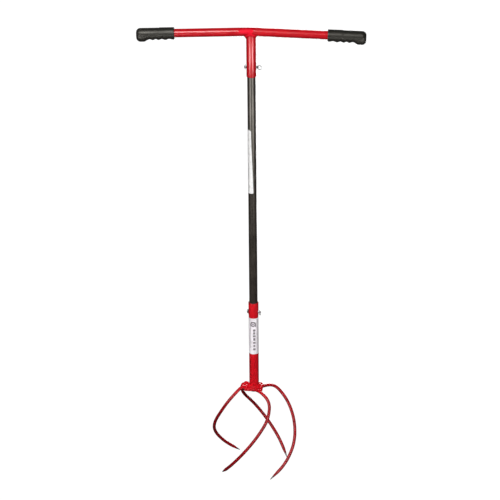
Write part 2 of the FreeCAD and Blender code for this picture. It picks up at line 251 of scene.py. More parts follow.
def red_paint(name, specular, duller=0.0):
    """Red paint on steel: slight orange peel, cloudy tone, bare metal where wear is 1, a brighter red as
    painted light and a near-black red as painted shade where the mesh asks for them.
    """
    s = Surface(name)
    s.shader.inputs["Specular IOR Level"].default_value = specular
    cloud = s.noise(38.0, 3.0)
    tone = s.mix(s.step(cloud, 0.3, 0.7), (0.53, 0.0035, 0.010, 1), (0.64, 0.006, 0.014, 1))
    specks = s.step(s.noise(2600.0, 1.0), 0.70, 0.76)
    tone = s.mix(s.math("MULTIPLY", specks, 0.35), tone, (0.30, 0.004, 0.008, 1))
    uneven = s.math("SUBTRACT", s.noise(420.0, 5.0, 0.65), 0.5)
    ragged = s.math("ADD", s.stored("wear"), s.math("MULTIPLY", uneven, 1.3))
    bare = s.step(ragged, 0.46, 0.56)
    rim = s.math("SUBTRACT", s.step(ragged, 0.30, 0.46), bare)
    grain = s.noise(900.0, 4.0, 0.6, s.stretched((1.0, 1.0, 0.35)))
    steel = s.mix(grain, (0.11, 0.10, 0.10, 1), (0.33, 0.32, 0.32, 1))
    rust = s.step(s.noise(260.0, 4.0), 0.56, 0.68)
    steel = s.mix(s.math("MULTIPLY", rust, 0.35), steel, (0.12, 0.05, 0.03, 1))
    colour = s.mix(s.math("MULTIPLY", s.math("MAXIMUM", rim, 0.0), 0.65), tone, (0.20, 0.006, 0.012, 1))
    # Painted light: a brighter red where the mesh asks for it, standing in for a strongly lit patch.
    colour = s.mix(s.stored("fresh"), colour, (0.95, 0.010, 0.036, 1))
    # Painted shade: red darkened towards near-black where the mesh asks for it, standing in for shadow and
    # dimmer light.
    colour = s.mix(s.stored("soot"), colour, (0.010, 0.003, 0.004, 1))
    colour = s.mix(bare, colour, steel)
    peel = s.noise(620.0, 2.0)
    scuff = s.step(s.noise(170.0, 5.0, 0.7), 0.55, 0.72, 0.0, 0.05)
    gloss = s.math("ADD", s.step(peel, 0.2, 0.8, 0.18 + duller, 0.25 + duller), scuff)
    rough = s.blend(bare, gloss, s.step(grain, 0.3, 0.7, 0.34, 0.55))
    skin = s.relief(peel, 0.00003, 0.35)
    edge = s.relief(s.math("SUBTRACT", 1.0, bare), 0.00012, 0.8, skin)
    return s.use(colour, rough, s.math("MULTIPLY", bare, 0.85), edge)


def black_paint():
    """Satin black paint on the middle tube, warm in tone, with fine upright scuffs and dust."""
    s = Surface("black_satin_paint")
    cloud = s.noise(30.0, 4.0)
    tone = s.mix(s.step(cloud, 0.3, 0.7), (0.019, 0.015, 0.012, 1), (0.036, 0.029, 0.024, 1))
    streaks = s.step(s.noise(300.0, 3.0, 0.6, s.stretched((1.0, 1.0, 0.03))), 0.56, 0.72)
    tone = s.mix(s.math("MULTIPLY", streaks, 0.30), tone, (0.060, 0.052, 0.048, 1))
    dust = s.step(s.noise(1500.0, 2.0), 0.66, 0.74)
    tone = s.mix(s.math("MULTIPLY", dust, 0.25), tone, (0.10, 0.095, 0.09, 1))
    peel = s.noise(700.0, 2.0)
    rough = s.math("ADD", s.step(peel, 0.2, 0.8, 0.26, 0.31), s.math("MULTIPLY", streaks, 0.05))
    s.shader.inputs["Specular IOR Level"].default_value = 0.60
    s.shader.inputs["Specular Tint"].default_value = (1.0, 0.95, 0.85, 1)
    return s.use(tone, rough, None, s.relief(peel, 0.000012, 0.4))


def rubber():
    """Moulded dark rubber: stippled, a little dusty in its hollows and rubbed on its crests."""
    s = Surface("grip_rubber_moulded", Sheen_Weight=0.03, Sheen_Roughness=0.5)
    s.shader.inputs["Specular IOR Level"].default_value = 0.45
    s.shader.inputs["Specular Tint"].default_value = (1.0, 0.97, 0.88, 1)
    cloud = s.noise(60.0, 4.0)
    tone = s.mix(s.step(cloud, 0.3, 0.7), (0.007, 0.0065, 0.005, 1), (0.013, 0.012, 0.0095, 1))
    tone = s.mix(s.math("MULTIPLY", s.stored("wear"), 0.55), tone, (0.026, 0.024, 0.020, 1))
    stipple = s.cells(1100.0)
    tone = s.mix(s.step(stipple, 0.35, 0.75, 0.0, 0.35), tone, (0.010, 0.009, 0.008, 1))
    dust = s.step(s.noise(800.0, 3.0), 0.62, 0.74, 0.0, 0.30)
    tone = s.mix(dust, tone, (0.050, 0.047, 0.038, 1))
    rough = s.math("ADD", s.step(cloud, 0.2, 0.8, 0.44, 0.56), s.math("MULTIPLY", s.stored("wear"), -0.14))
    grain = s.relief(stipple, 0.00022, 0.55)
    return s.use(tone, rough, None, s.relief(s.noise(260.0, 3.0), 0.00025, 0.25, grain))


def zinc():
    """Bright zinc plating: faintly turned, with a cool cast, dull spots and darker pits."""
    s = Surface("zinc_plate", Metallic=1.0)
    turned = s.noise(900.0, 3.0, 0.6, s.stretched((3.0, 0.5, 0.5)))
    tone = s.mix(s.step(turned, 0.3, 0.7), (0.24, 0.24, 0.25, 1), (0.44, 0.44, 0.43, 1))
    cast = s.step(s.noise(120.0, 2.0), 0.40, 0.66, 0.0, 0.45)
    tone = s.mix(cast, tone, (0.32, 0.34, 0.40, 1))
    pits = s.step(s.noise(1700.0, 2.0), 0.64, 0.72)
    tone = s.mix(s.math("MULTIPLY", pits, 0.55), tone, (0.16, 0.15, 0.14, 1))
    rough = s.math("ADD", s.step(turned, 0.2, 0.8, 0.22, 0.38), s.math("MULTIPLY", pits, 0.2))
    return s.use(tone, rough, None, s.relief(turned, 0.00006, 0.5))


def film(name, marks, tint):
    """White vinyl film with plain printed marks: each mark is (kind, across, up, size...) in millimetres."""
    s = Surface(name)
    uv = s.nodes.new("ShaderNodeUVMap")
    uv.uv_map = "print"
    split = s.nodes.new("ShaderNodeSeparateXYZ")
    s.links.new(uv.outputs["UV"], split.inputs[0])
    across, up = split.outputs[0], split.outputs[1]
    ink = None
    for kind, x, y, *size in marks:
        dx, dy = s.math("SUBTRACT", across, x), s.math("SUBTRACT", up, y)
        if kind == "bar":
            inside = s.math("MAXIMUM", s.math("SUBTRACT", s.math("ABSOLUTE", dx), size[0] / 2),
                            s.math("SUBTRACT", s.math("ABSOLUTE", dy), size[1] / 2))
        else:
            away = s.math("SQRT", s.math("ADD", s.math("MULTIPLY", dx, dx), s.math("MULTIPLY", dy, dy)))
            inside = s.math("SUBTRACT", s.math("ABSOLUTE", s.math("SUBTRACT", away, size[0])), size[1] / 2)
        ink = inside if ink is None else s.math("MINIMUM", ink, inside)
    ragged = s.math("ADD", ink, s.math("MULTIPLY", s.math("SUBTRACT", s.noise(2200.0, 3.0), 0.5), 0.22))
    printed = s.step(ragged, -0.08, 0.08, 0.86, 0.0)
    grubby = s.step(s.noise(110.0, 5.0, 0.6), 0.45, 0.75)
    paper = s.mix(grubby, tint, tuple(c * 0.80 for c in tint[:3]) + (1,))
    smear = s.step(s.noise(220.0, 4.0, 0.6, s.stretched((1.0, 1.0, 0.12))), 0.58, 0.74, 0.0, 0.30)
    paper = s.mix(smear, paper, (0.42, 0.41, 0.41, 1))
    colour = s.mix(printed, paper, (0.075, 0.048, 0.070, 1))
    rough = s.math("ADD", s.step(grubby, 0.0, 1.0, 0.30, 0.46), s.math("MULTIPLY", printed, 0.08))
    return s.use(colour, rough, None, s.relief(s.noise(420.0, 3.0), 0.00006, 0.35))


RED = red_paint("red_gloss_paint", 0.55)
RED_BEAD = red_paint("red_bead_paint", 0.06, 0.22)
RED_ROD = red_paint("red_rod_paint", 0.26, 0.165)
RED_HUB = red_paint("red_hub_paint", 0.10, 0.255)
BLACK = black_paint()
RUBBER = rubber()
ZINC = zinc()


# ---- Mesh helpers ----

def shell(rings, loop=False):
    """Points and faces of a closed surface through rings of points; its ends are closed unless it loops."""
    rings = np.asarray(rings, float)
    rows, around = rings.shape[:2]
    points = rings.reshape(-1, 3)
    faces = []
    for row in range(rows if loop else rows - 1):
        here, there = row * around, (row + 1) % rows * around
        for step in range(around):
            after = (step + 1) % around
            faces.append((here + step, here + after, there + after, there + step))
    if not loop:
        for start, ring in ((0, rings[0]), ((rows - 1) * around, rings[-1])):
            points = np.vstack([points, ring.mean(0)])
            faces += [(start + step, start + (step + 1) % around, len(points) - 1) for step in range(around)]
    return points, faces


def unit(vectors):
    return vectors / np.linalg.norm(vectors, axis=-1, keepdims=True)


def swept(path, radius, around, loop=False, out=None):
    """Rings round a path. Out gives each ring's first direction; else it's carried along without twist."""
    path = np.asarray(path, float)
    ahead = unit(np.roll(path, -1, 0) - np.roll(path, 1, 0) if loop else np.gradient(path, axis=0))
    if out is None:
        first = np.cross(ahead[0], (0.3, 0.2, 0.93))
        out = [first]
        for direction in ahead[1:]:
            out.append(out[-1] - direction * (out[-1] @ direction))
        out = np.array(out)
    out = unit(out - ahead * np.sum(out * ahead, axis=1, keepdims=True))
    side = np.cross(ahead, out)
    angles = np.arange(around) * 2 * math.pi / around
    radius = np.asarray(radius, float)
    if radius.ndim == 1:
        radius = radius[:, None]
    radius = np.broadcast_to(radius, (len(path), around))
    return (path[:, None] + radius[..., None] * (np.cos(angles)[None, :, None] * out[:, None]
                                                + np.sin(angles)[None, :, None] * side[:, None]))


def lathed(profile, around=96, axis="z"):
    """Rings of revolution from (along, radius) rows, about Z or X."""
    profile = np.asarray(profile, float)
    angles = np.arange(around) * 2 * math.pi / around
    along = np.repeat(profile[:, :1], around, 1)
    across, up = profile[:, 1:] * np.cos(angles), profile[:, 1:] * np.sin(angles)
    return np.stack([across, up, along] if axis == "z" else [along, across, up], -1)


def rounded(corners, loop=True):
    """A profile with each (along, radius, rounding) corner eased over its rounding distance."""
    corners = [np.array(corner, float) for corner in corners]
    points = []
    count = len(corners)
    for place, corner in enumerate(corners):
        if corner[2] == 0 or (not loop and place in (0, count - 1)):
            points.append(corner[:2])
            continue
        before, after = corners[place - 1][:2] - corner[:2], corners[(place + 1) % count][:2] - corner[:2]
        start = corner[:2] + before / np.linalg.norm(before) * corner[2]
        end = corner[:2] + after / np.linalg.norm(after) * corner[2]
        for share in np.linspace(0, 1, 5):
            points.append((1 - share) ** 2 * start + 2 * share * (1 - share) * corner[:2] + share ** 2 * end)
    return points


def turn_z(points, angle):
    """Points turned about the shaft's axis."""
    c, s = math.cos(angle), math.sin(angle)
    return np.asarray(points) @ np.array([[c, s, 0], [-s, c, 0], [0, 0, 1]])


def solid(name, points, faces):
    """A closed mesh object with its normals outward, in metres."""
    mesh = bpy.data.meshes.new(name)
    mesh.from_pydata((np.asarray(points) * MM).tolist(), [], faces)
    work = bmesh.new()
    work.from_mesh(mesh)
    bmesh.ops.recalc_face_normals(work, faces=work.faces)
    work.to_mesh(mesh)
    work.free()
    obj = bpy.data.objects.new(name, mesh)
    scene.collection.objects.link(obj)
    return obj


def applied(obj):
    """Turns an object's modifiers into plain mesh."""
    bpy.context.view_layer.update()
    mesh = bpy.data.meshes.new_from_object(obj.evaluated_get(bpy.context.evaluated_depsgraph_get()))
    obj.modifiers.clear()
    obj.data = mesh
    return obj


def cut(obj, *tools):
    """Takes other solids out of an object."""
    for tool in tools:
        modifier = obj.modifiers.new("cut", "BOOLEAN")
        modifier.operation = "DIFFERENCE"
        modifier.solver = "EXACT"
        modifier.object = tool
    applied(obj)
    for tool in tools:
        bpy.data.objects.remove(tool)
    return obj


def points_of(obj):
    """An object's points, in millimetres."""
    co = np.empty(len(obj.data.vertices) * 3, np.float32)
    obj.data.vertices.foreach_get("co", co)
    return co.reshape(-1, 3).astype(float) / MM


def piece(obj, material, slot, body, node, **fields):
    """Finishes an object as a piece that rides on a body and stands for a CAD node.

    Fields are functions that give a number from 0 to 1 at each of its points.
    """
    mesh = obj.data
    mesh.polygons.foreach_set("use_smooth", [True] * len(mesh.polygons))
    mesh.set_sharp_from_angle(angle=CREASE)
    mesh.materials.clear()
    mesh.materials.append(material)
    for field, at in fields.items():
        layer = mesh.attributes.new(field, "FLOAT", "POINT")
        layer.data.foreach_set("value", np.clip(at(points_of(obj)), 0, 1).astype(np.float32))
    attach(obj, body)
    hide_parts(node)
    return obj


def ripple(points, scale, seed=0.0):
    """Smooth noise from -1 to 1 at points, for features about 1/scale millimetres across."""
    return np.array([noise.noise(Vector(point) * scale + Vector((seed, 0, 0))) for point in points])


# ---- Handle ----

def bar_line():
    """The cross tube's axis, from left to right."""
    bend_x = BAR_BEND_RADIUS * math.sin(BAR_DROOP)
    bend_z = BAR_Z - BAR_BEND_RADIUS * (1 - math.cos(BAR_DROOP))
    arm = np.linspace(BAR_HALF_LENGTH, bend_x, 40)
    arm = np.stack([arm, 0 * arm, bend_z - (arm - bend_x) * math.tan(BAR_DROOP)], 1)
    lean = np.linspace(BAR_DROOP, 0, 7)[1:-1]
    drop = BAR_BEND_RADIUS * (1 - np.cos(lean))
    bend = np.stack([BAR_BEND_RADIUS * np.sin(lean), 0 * lean, BAR_Z - drop], 1)
    right = np.vstack([arm, bend, [(0, 0, BAR_Z)]])
    return np.vstack([right * (-1, 1, 1), right[-2::-1]])


def cross_tube():
    """The bent cross tube with its wall."""
    line = bar_line()
    outer, inner = swept(line, BAR_RADIUS, 96), swept(line[::-1], BAR_RADIUS - BAR_WALL, 96)
    inner = np.roll(inner[:, ::-1], nearest_start(outer[-1], inner[0][::-1]), axis=1)
    return solid("handle_cross_tube", *shell(np.vstack([outer, inner]), loop=True))


def nearest_start(ring, other):
    """How far to roll another ring so that its first point faces this ring's first point."""
    centre = ring.mean(0)
    facing = (other - other.mean(0)) @ (ring[0] - centre)
    return -int(np.argmax(facing))


def drill(place):
    """The tool for a pin's cross hole."""
    radius, reach = PIN_RADIUS + PIN_HOLE_GAP, 20.0
    rings = lathed([(-reach, radius), (reach, radius)], 48, "x")
    return solid("drill", *shell(turn_z(rings, place["turn"]) + (0, 0, place["z"])))


def stem_tube():
    """The short red tube, coped round the cross tube, with rounded lips."""
    inner = SOCKET_RADIUS - SOCKET_WALL
    profile = rounded([
        (STEM_BOTTOM, inner, 0.35), (STEM_BOTTOM, SOCKET_RADIUS, 0.7),
        (STEM_TOP, SOCKET_RADIUS, 0.3), (STEM_TOP, inner, 0.3),
    ])
    tube = solid("handle_stem", *shell(lathed(profile), loop=True))
    cope = solid("cope", *shell(swept(bar_line(), BAR_RADIUS, 72)))
    return cut(tube, cope, drill(UPPER))


def melted(name, parts, voxel, passes, grain):
    """One surface run together from overlapping closed shells, with a fine uneven skin."""
    points, faces, count = [], [], 0
    for some, their in parts:
        points.append(some)
        faces += [tuple(corner + count for corner in face) for face in their]
        count += len(some)
    obj = solid(name, np.vstack(points), faces)
    remesh = obj.modifiers.new("merge", "REMESH")
    remesh.mode = "VOXEL"
    remesh.voxel_size = voxel * MM
    smooth = obj.modifiers.new("melt", "SMOOTH")
    smooth.factor = 0.5
    smooth.iterations = passes
    applied(obj)
    flat = points_of(obj)
    normals = np.empty(len(flat) * 3, np.float32)
    obj.data.vertices.foreach_get("normal", normals)
    rise = grain * (ripple(flat, 0.32, 4.0) + 0.5 * ripple(flat, 0.9, 8.0))
    flat += normals.reshape(-1, 3) * rise[:, None]
    obj.data.vertices.foreach_set("co", (flat * MM).astype(np.float32).ravel())
    return obj


# The weld's pad over the bar: its ends, its radius and how much thinner it gets at its ends, then how far
# its middle line lies in front of the bar's and above it, and how fast it sags to each side.
PAD_SPAN = (-30.0, 8.0)
PAD_RADIUS = 6.85
PAD_TAPER = 1.6
PAD_FORWARD = 3.3
PAD_RISE = 1.6
PAD_SAG = 0.0017
# How far below the bar's axis the pad ends and the fillet starts.
PAD_FOOT = 7.5
# The fillet's beads, from the corner out: how far outward and down each one sits, and its radius.
FILLET_BEADS = [(0.3, 0.4, 2.5), (1.6, 0.2, 1.9), (0.0, 3.0, 1.5)]


def handle_weld():
    """The weld between the stem and the cross tube.

    It is a soft fillet, fuller on its left side, with a pad spread over the bar's front.
    """
    steps = 200
    angles = np.arange(steps) * 2 * math.pi / steps
    left = np.clip(-np.cos(angles), 0, 1) ** 2
    front = np.clip(-np.sin(angles), 0, 1) ** 2
    across = 0.95 * BAR_RADIUS * np.sin(angles)
    drop = np.sqrt(BAR_RADIUS ** 2 - across ** 2)
    out = np.stack([np.cos(angles), np.sin(angles), 0 * angles], 1)
    parts = []
    for outward, down, girth in FILLET_BEADS:
        reach = SOCKET_RADIUS + outward * (0.5 + 0.9 * left)
        path = out * reach[:, None] + (0, 0, BAR_Z)
        path[:, 2] -= drop + down * (0.6 + 0.9 * left)
        path += out * (0.25 * ripple(path, 0.1, girth))[:, None]
        bead = girth * (0.72 + 0.55 * left + 0.15 * front) + 0.07 * np.sin(angles * 30)
        parts.append(shell(swept(path, bead, 20, loop=True, out=out), loop=True))
    start, end = PAD_SPAN
    run = np.linspace(start, end, 20)
    pad = np.stack([run, np.full(20, -PAD_FORWARD), BAR_Z + PAD_RISE - PAD_SAG * run ** 2], 1)
    girth = PAD_RADIUS - PAD_TAPER * (np.abs(2 * run - start - end) / (end - start)) ** 4
    parts.append(shell(swept(pad, girth, 32)))
    return melted("handle_weld_bead", parts, 0.5, 8, 0.12)


def on_bar(points):
    """1 on the weld's pad over the bar, 0 on its fillet below."""
    return 1 / (1 + np.exp(-(points[:, 2] - BAR_Z + PAD_FOOT) / 0.8))


def underside(along):
    """The grip's underside radius at a distance from its inner end."""
    place = np.clip(np.searchsorted(GRIP_UNDERSIDE[:, 0], along) - 1, 0, len(GRIP_UNDERSIDE) - 2)
    (start, low), (end, high) = GRIP_UNDERSIDE[place], GRIP_UNDERSIDE[place + 1]
    return low + (high - low) * (1 - math.cos(math.pi * (along - start) / (end - start))) / 2


def grip(side):
    """A closed moulded grip with finger hollows, a heel, a stepped collar and a fine parting line."""
    around = 96
    angles = np.arange(around) * 2 * math.pi / around
    below = np.clip(-np.sin(angles), 0, 1) ** 1.5
    parting = np.exp(-(np.sin(angles) / 0.045) ** 2) * 0.10
    inner_x = GRIP_OUTER_X - GRIP_LENGTH
    bore = BAR_HALF_LENGTH - inner_x + 0.4
    rings = []

    def ring(along, radius):
        radius = np.broadcast_to(radius, angles.shape)
        rings.append(np.stack([np.full(around, along), radius * np.cos(angles), radius * np.sin(angles)], 1))

    ring(bore, 2.0)
    ring(bore, BAR_RADIUS + 0.02)
    ring(0.4, BAR_RADIUS + 0.02)
    ring(0.0, BAR_RADIUS + 0.4)
    straight = GRIP_LENGTH - GRIP_END_ROUND
    places = np.concatenate([[0.0, 0.15, 0.4, 0.8], np.arange(1.4, straight, 0.7),
                             straight + GRIP_END_ROUND * np.sin(np.radians(np.arange(0, 90, 4)))])
    for along in places:
        top = GRIP_TOP_RADIUS - GRIP_STEP / (1 + math.exp(-(along - GRIP_STEP_AT - 1.2) / 0.35))
        groove = 0.28 * math.exp(-((along - GRIP_STEP_AT - 1.2) / 0.7) ** 2)
        radius = top + (underside(along) - top) * below + parting - groove - 0.1
        if along < 1.5:
            radius = radius - 1.1 * (1 - math.sqrt(1 - (1 - along / 1.5) ** 2))
        past = along - straight
        if past > 0:
            radius = radius - (GRIP_END_ROUND - math.sqrt(GRIP_END_ROUND ** 2 - past ** 2))
        ring(along, radius)
    line = bar_line()
    height = np.interp(inner_x, line[:, 0], line[:, 2])
    c, s = math.cos(BAR_DROOP), math.sin(BAR_DROOP)
    flat = np.array(rings).reshape(-1, 3) @ np.array([[c, 0, -s], [0, 1, 0], [s, 0, c]])
    flat = (flat + (inner_x, 0, height)) * (side, 1, 1)
    name = "right_grip_rubber" if side > 0 else "left_grip_rubber"
    return solid(name, *shell(flat.reshape(-1, around, 3)))


def grip_wear(points):
    """Rubbed patches over the grip at random, and more of the same along its front."""
    return 0.5 + 0.5 * ripple(points, 0.05, 3.0) + 0.2 * (points[:, 1] < -9)


piece(cross_tube(), RED, "red_paint", "tool", "cross_tube")
piece(stem_tube(), RED, "red_paint", "tool", "stem_tube",
      wear=lambda p: 0.42 * np.exp(-((p[:, 2] - STEM_BOTTOM) / 0.9)))
# The pad over the bar is given painted light, a brighter red for a strongly lit patch.
piece(handle_weld(), RED_BEAD, "red_paint", "tool", "handle_weld", fresh=lambda p: 0.8 * on_bar(p))
piece(grip(1), RUBBER, "grip_rubber", "tool", "right_grip", wear=grip_wear)
piece(grip(-1), RUBBER, "grip_rubber", "tool", "left_grip", wear=grip_wear)


# ---- Shaft ----

def middle_tube():
    """The long black tube between its two red sockets."""
    inner = MIDDLE_RADIUS - MIDDLE_WALL
    profile = rounded([
        (MIDDLE_BOTTOM, inner, 0.3), (MIDDLE_BOTTOM, MIDDLE_RADIUS, 0.5),
        (MIDDLE_TOP, MIDDLE_RADIUS, 0.5), (MIDDLE_TOP, inner, 0.3),
    ])
    return cut(solid("shaft_middle_tube", *shell(lathed(profile), loop=True)), drill(UPPER), drill(LOWER))


def head_tube():
    """The claw's red tube, opened out at its mouth with a rounded lip."""
    inner, mouth = SOCKET_RADIUS - SOCKET_WALL, MOUTH_RADIUS - SOCKET_WALL
    high = HEAD_TOP - MOUTH_LENGTH
    low = high - MOUTH_TAPER
    profile = rounded([
        (HEAD_BOTTOM, inner, 0.3), (HEAD_BOTTOM, SOCKET_RADIUS, 0.5), (low, SOCKET_RADIUS, 2.2),
        (high, MOUTH_RADIUS, 2.2), (HEAD_TOP, MOUTH_RADIUS, 0.75), (HEAD_TOP, mouth, 0.4),
        (high, mouth, 2.0), (low, inner, 2.0),
    ])
    return cut(solid("claw_head_tube", *shell(lathed(profile), loop=True)), drill(LOWER))


def wrap(name, node, radius, width, right_low, right_high):
    """A thin film wrapped part of the way round a tube, with rounded corners.

    Its print map is laid out in millimetres, from its right edge and its bottom.
    """
    low, high = span(node)[0][2] + 0.02, span(node)[1][2] - 0.02
    height = high - low
    reach = radius + 0.08
    arc = reach * width
    columns, corner = 72, LABEL_CORNER
    ends = corner * (1 - np.cos(np.linspace(0, math.pi / 2, 9)))
    rises = np.concatenate([ends[:-1], np.linspace(corner, height - corner, 90), (height - ends)[-2::-1]])
    inset = np.zeros(len(rises))
    for end in (rises, height - rises):
        near = end < corner
        inset[near] = corner - np.sqrt(np.clip(corner ** 2 - (corner - end[near]) ** 2, 0, None))
    across = inset[:, None] + (arc - 2 * inset[:, None]) * np.linspace(0, 1, columns)[None]
    up = np.repeat(rises[:, None], columns, 1)
    edge = right_low + (right_high - right_low) * up / height
    angle = edge - across / reach
    lift = 0.018 * ripple(np.stack([across, up, 0 * up], -1).reshape(-1, 3), 0.25).reshape(up.shape)
    layers = []
    for stand in (radius + 0.06, radius + 0.185 + np.clip(lift, -0.018, 0.012)):
        layers.append(np.stack([stand * np.cos(angle), stand * np.sin(angle), low + up], -1).reshape(-1, 3))
    rows, count = len(rises), len(rises) * columns
    faces = []
    for row in range(rows - 1):
        for column in range(columns - 1):
            a = row * columns + column
            for base in (0, count):
                faces.append((base + a, base + a + 1, base + a + columns + 1, base + a + columns))
    rim = [(0, c) for c in range(columns - 1)] + [(r, columns - 1) for r in range(rows - 1)]
    rim += [(rows - 1, c) for c in range(columns - 1, 0, -1)] + [(r, 0) for r in range(rows - 1, 0, -1)]
    rim = [r * columns + c for r, c in rim]
    for here, there in zip(rim, rim[1:] + rim[:1]):
        faces.append((here, there, count + there, count + here))
    obj = solid(name, np.vstack(layers), faces)
    flat = np.tile(np.stack([across, up], -1).reshape(-1, 2), (2, 1))
    layer = obj.data.uv_layers.new(name="print")
    corners = np.empty(len(obj.data.loops), np.int32)
    obj.data.loops.foreach_get("vertex_index", corners)
    layer.data.foreach_set("uv", flat[corners].astype(np.float32).ravel())
    return obj


HEAD_MARKS = [("ring", 20.6, 75.5, 5.0, 2.8), ("ring", 20.6, 75.5, 0.9, 1.8), ("bar", 14.6, 73.0, 1.8, 8.5)]
HEAD_BLOCKS = [
    (60.0, 5.0, 5.6), (53.0, 5.5, 4.4), (45.5, 4.5, 5.8), (37.5, 6.5, 4.6),
    (29.0, 5.0, 5.6), (21.0, 6.0, 4.2), (12.5, 5.0, 5.4),
]
HEAD_MARKS += [("bar", 17.8, up, width, length) for up, length, width in HEAD_BLOCKS]
HEAD_MARKS += [("bar", 10.2, 45.0, 0.9, 86.0), ("bar", 26.8, 45.0, 0.8, 60.0)]
MIDDLE_MARKS = [("bar", 15.0, 76.0, 0.7, 128.0), ("ring", 11.0, 128.0, 2.2, 0.5)]
MIDDLE_MARKS += [("bar", 12.4, 96.0, 1.0, 38.0), ("bar", 12.4, 46.0, 1.0, 30.0)]

piece(middle_tube(), BLACK, "black_paint", "tool", "middle_tube")
middle_film = wrap("shaft_label_film", "middle_label", MIDDLE_RADIUS, *np.radians(MIDDLE_LABEL_DEG))
middle_vinyl = film("label_film_shaft", MIDDLE_MARKS, (0.90, 0.89, 0.88, 1))
piece(middle_film, middle_vinyl, "label_film", "tool", "middle_label")
piece(head_tube(), RED, "red_paint", "tool", "head_tube",
      wear=lambda p: 0.45 * np.exp(-((HEAD_TOP - p[:, 2]) / 1.0)))
head_film = wrap("head_label_film", "head_label", SOCKET_RADIUS, *np.radians(HEAD_LABEL_DEG))
head_vinyl = film("label_film_head", HEAD_MARKS, (0.95, 0.90, 0.94, 1))
piece(head_film, head_vinyl, "label_film", "tool", "head_label")


# ---- Pins and split rings ----

def pin(name, place):
    """A dome-headed pin, softly edged, with a cross hole for its ring."""
    rim = 0.8
    rise = PIN_HEAD_HEIGHT - rim
    dome = (PIN_HEAD_RADIUS ** 2 + rise ** 2) / (2 * rise)
    half = math.asin(PIN_HEAD_RADIUS / dome)
    lean = np.linspace(half * 0.03, half * 0.96, 14)
    arc = [(-rim - rise + dome * (1 - math.cos(a)), dome * math.sin(a)) for a in lean]
    rest = rounded([
        (-rim, PIN_HEAD_RADIUS, 0.0), (-rim + 0.15, PIN_HEAD_RADIUS, 0.1), (0, PIN_HEAD_RADIUS, 0.18),
        (0, PIN_RADIUS, 0.12), (PIN_LENGTH - 0.7, PIN_RADIUS, 0.25),
        (PIN_LENGTH, PIN_RADIUS - 0.7, 0.25), (PIN_LENGTH, 0.1, 0.0),
    ], loop=False)
    rings = lathed(arc + [tuple(p) for p in rest], 64, "x")
    shank = solid(name, *shell(turn_z(rings + (place["head_x"], 0, 0), place["turn"]) + (0, 0, place["z"])))
    hole = lathed([(-6.0, RING_HOLE_RADIUS), (6.0, RING_HOLE_RADIUS)], 32)
    hole = turn_z(hole + (place["head_x"] + RING_HOLE_AT, 0, 0), place["turn"]) + (0, 0, place["z"])
    return cut(shank, solid("hole", *shell(hole)))


def split_ring(name, place):
    """A split ring of nearly two turns of round wire with rounded ends."""
    steps = round(RING_TURNS * 40)
    angles = math.pi * RING_TURNS * np.linspace(-1, 1, steps + 1)
    along = RING_PITCH * angles / (2 * math.pi)
    path = np.stack([RING_RADIUS * np.cos(angles), along, RING_RADIUS * np.sin(angles)], 1)
    radius = np.full(len(path), RING_WIRE_RADIUS)
    radius[[0, -1]] *= 0.45
    radius[[1, -2]] *= 0.92
    path[0] += (path[1] - path[0]) * 0.55
    path[-1] += (path[-2] - path[-1]) * 0.55
    rings = swept(path, radius, 14)
    bow = RING_RADIUS - math.sqrt(RING_RADIUS ** 2 - PIN_RADIUS ** 2)
    rings = turn_z(rings + (RING_RADIUS - bow / 2, 0, 0), place["swing"])
    rings = rings + (place["head_x"] + RING_HOLE_AT, 0, 0)
    return solid(name, *shell(turn_z(rings, place["turn"]) + (0, 0, place["z"])))


for level, place in (("upper", UPPER), ("lower", LOWER)):
    piece(pin(level + "_locking_pin", place), ZINC, "zinc_steel", level + "_pin", level + "_pin")
    piece(split_ring(level + "_split_ring", place), ZINC, "zinc_steel", level + "_ring", level + "_ring")


# ---- Claw ----

def bent(corners):
    """Points along straight runs joined by tangent arcs, a millimetre apart."""
    points = [corners[0]]
    for before, corner, after in zip(corners, corners[1:], corners[2:]):
        back, ahead = unit(before - corner), unit(after - corner)
        trim = min(np.linalg.norm(before - corner), np.linalg.norm(after - corner)) / 2
        for share in np.linspace(0, 1, 17):
            start, end = corner + back * trim, corner + ahead * trim
            turn = math.pi - math.acos(np.clip(back @ ahead, -1, 1))
            radius = trim / math.tan(turn / 2)
            centre = corner + unit(back + ahead) * math.hypot(radius, trim)
            arm = (start - centre) * math.sin((1 - share) * turn) + (end - centre) * math.sin(share * turn)
            points.append(centre + arm / math.sin(turn))
    points.append(corners[-1])
    points = np.array(points)
    gone = np.concatenate([[0], np.cumsum(np.linalg.norm(np.diff(points, axis=0), axis=1))])
    even = np.linspace(0, gone[-1], round(gone[-1]) + 1)
    return np.stack([np.interp(even, gone, points[:, k]) for k in range(3)], 1)


def calmed(path, times):
    """The path with small changes of bend evened out; its ends stay."""
    path = path.copy()
    for _ in range(times):
        path[1:-1] = (path[:-2] + 2 * path[1:-1] + path[2:]) / 4
    return path


def tine_line(name):
    """A tine's middle line, before it is turned to its place."""
    return calmed(bent(np.array(TINE_HUB_CORNERS[name] + TINE_TIP_CORNERS)), 30)


